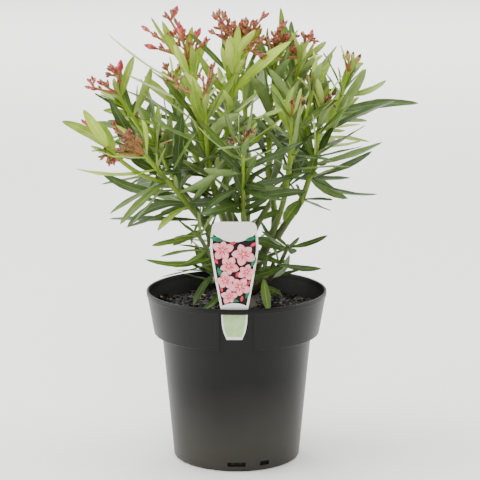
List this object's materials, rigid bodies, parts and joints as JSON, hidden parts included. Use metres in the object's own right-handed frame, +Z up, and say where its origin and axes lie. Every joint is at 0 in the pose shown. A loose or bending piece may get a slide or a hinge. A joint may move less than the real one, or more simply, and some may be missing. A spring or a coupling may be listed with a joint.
{
  "type": "potted oleander shrub",
  "caption": "Bushy shrub in a round nursery pot: tapering stems fork from a short root crown and carry whorls of narrow leaves and bud clusters; a plant label stands in the rim.",
  "frame": {"origin": "centre of the pot's flat underside, on the pot's axis", "axes": "+Z up the pot's axis, -Y toward the front, where the label stands"},
  "size_m": [0.3929, 0.316, 0.5014],
  "materials": {
    "pot_plastic": "injection moulded, satin, near black",
    "potting_mix": "moist composted bark, rough",
    "tag": "printed sheet, lightly glossy",
    "stem_bark": "young bark, green above and brown below",
    "foliage": "leathery leaves, satin above and paler beneath"
  },
  "bodies": {
    "root": {"back_centre": "foliage", "back_centre_bough": "stem_bark", "back_left": "foliage", "back_left_bough": "stem_bark", "back_right": "foliage", "back_right_bough": "stem_bark", "back_stem": "stem_bark", "centre_front": "foliage", "centre_left": "foliage", "centre_left_stem": "stem_bark", "centre_stem": "stem_bark", "foot_left": "foliage", "foot_right": "foliage", "front_stem": "stem_bark", "label": "tag", "left_front": "foliage", "left_high": "foliage", "left_high_stem": "stem_bark", "left_stem": "stem_bark", "low_back": "foliage", "low_left": "foliage", "low_right": "foliage", "pot": "pot_plastic", "potting_mix": "potting_mix", "right": "foliage", "right_bough": "stem_bark", "right_centre": "foliage", "right_centre_bough": "stem_bark", "right_inner_bough": "stem_bark", "right_stem": "stem_bark", "root_crown": "stem_bark", "top_centre": "foliage", "top_right": "foliage", "upper_left": "foliage"}
  },
  "joints": []
}
